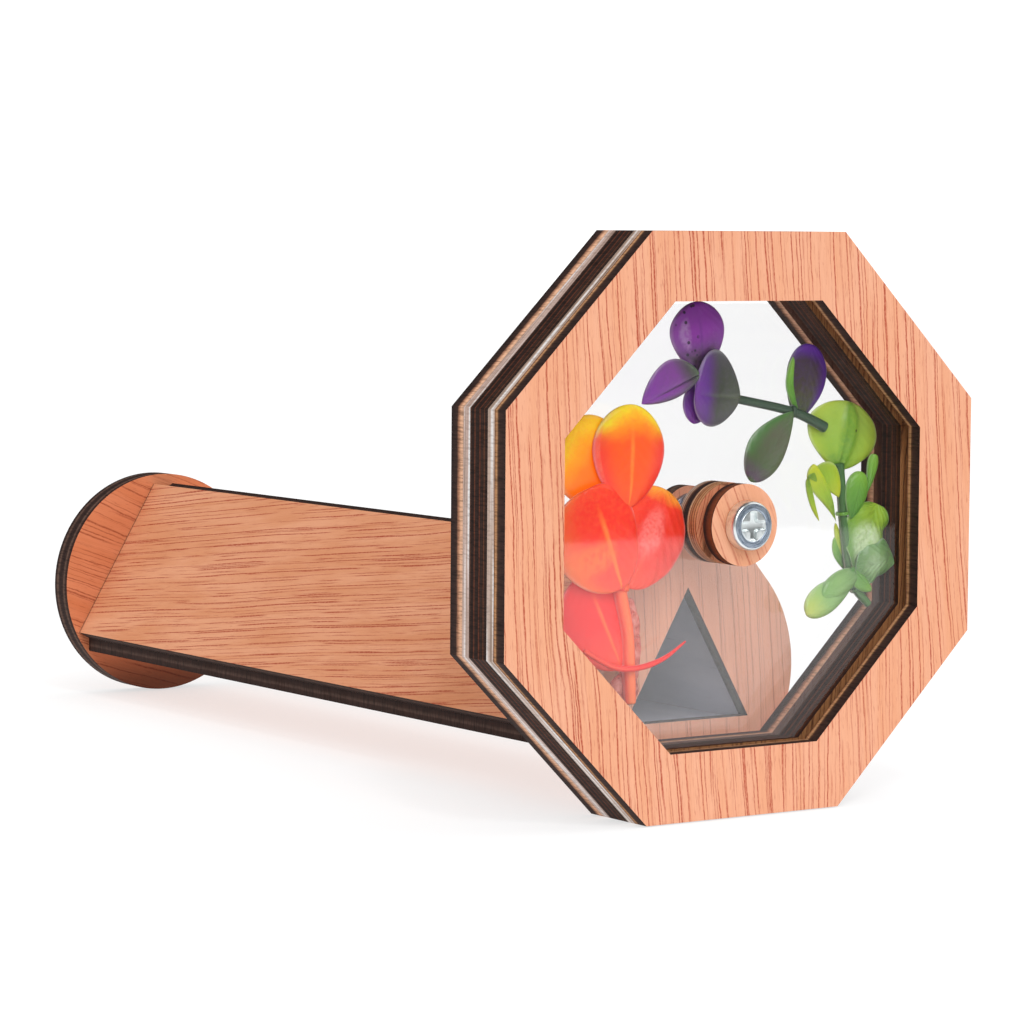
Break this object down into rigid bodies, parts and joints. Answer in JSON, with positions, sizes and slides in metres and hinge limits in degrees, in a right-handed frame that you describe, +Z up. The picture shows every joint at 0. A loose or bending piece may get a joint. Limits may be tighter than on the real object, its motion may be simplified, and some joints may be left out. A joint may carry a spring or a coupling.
{
  "type": "kaleidoscope",
  "caption": "Wooden kaleidoscope: a triangular mirror tube with a round eyepiece and a turning octagonal wheel that holds moulded plant sprigs between clear windows.",
  "frame": {"origin": "bottom centre of the whole object as it rests level on the wheel's lower flat and the eyepiece's rim", "axes": "+Z up; +Y along the tube, from the wheel to the eyepiece; +X to the right as seen from the wheel's side, looking along +Y"},
  "size_m": [0.1, 0.2116, 0.1],
  "materials": {
    "plate_ply": "laser-cut plywood, burnt edges",
    "ring_ply": "laser-cut plywood, burnt edges",
    "middle_ply": "laser-cut plywood, burnt edges",
    "hub_ply": "laser-cut plywood, burnt edges",
    "tube_ply": "laser-cut plywood, burnt edges",
    "eyepiece_ply": "laser-cut plywood, burnt edges",
    "mirror_strip": "silvered",
    "zinc_steel": "zinc plated",
    "clear_acrylic": "clear, polished",
    "hot_glue": "cloudy",
    "orange_red_plastic": "soft gloss, moulded",
    "orange_yellow_plastic": "soft gloss, moulded, colour fades to yellow at the tip",
    "purple_plastic": "soft gloss, moulded",
    "dark_green_plastic": "soft gloss, moulded",
    "leaf_green_plastic": "soft gloss, moulded"
  },
  "bodies": {
    "scope": {"front_plate": "plate_ply", "tube_wall_left": "tube_ply", "tube_wall_right": "tube_ply", "tube_wall_base": "tube_ply", "mirror_left": "mirror_strip", "mirror_right": "mirror_strip", "mirror_base": "mirror_strip", "eyepiece_inner_disc": "eyepiece_ply", "eyepiece_outer_disc": "eyepiece_ply", "pivot_screw": "zinc_steel", "pivot_spacer_nut": "zinc_steel", "pivot_spacer_washer": "zinc_steel", "pivot_rear_washer": "zinc_steel", "pivot_rear_nut": "zinc_steel"},
    "wheel": {"wheel_front_ring": "ring_ply", "wheel_front_window": "clear_acrylic", "wheel_middle_ring_front": "middle_ply", "wheel_middle_ring_rear": "middle_ply", "wheel_rear_window": "clear_acrylic", "wheel_back_ring": "ring_ply", "hub_cap_disc": "hub_ply", "hub_core_disc_front": "hub_ply", "hub_core_disc_rear": "hub_ply", "orange_sprig_stem": "orange_red_plastic", "orange_sprig_upper_leaves": "orange_yellow_plastic", "orange_sprig_middle_leaves": "orange_red_plastic", "orange_sprig_lower_leaf": "orange_red_plastic", "orange_glue_dab": "hot_glue", "purple_sprig_stem": "dark_green_plastic", "purple_sprig_back_leaves": "purple_plastic", "purple_sprig_end_leaves": "purple_plastic", "purple_sprig_near_leaves": "dark_green_plastic", "purple_glue_dab": "hot_glue", "green_sprig_stem": "leaf_green_plastic", "green_sprig_top_leaf": "leaf_green_plastic", "green_sprig_upper_leaves": "leaf_green_plastic", "green_sprig_middle_leaves": "leaf_green_plastic", "green_sprig_lower_leaf": "leaf_green_plastic", "green_glue_dab": "hot_glue"}
  },
  "joints": [
    {"name": "wheel_spin", "type": "hinge", "parent": "scope", "child": "wheel", "pos_m": [0, -0.09585, 0.05], "axis": [0, 1, 0], "continuous": true}
  ]
}
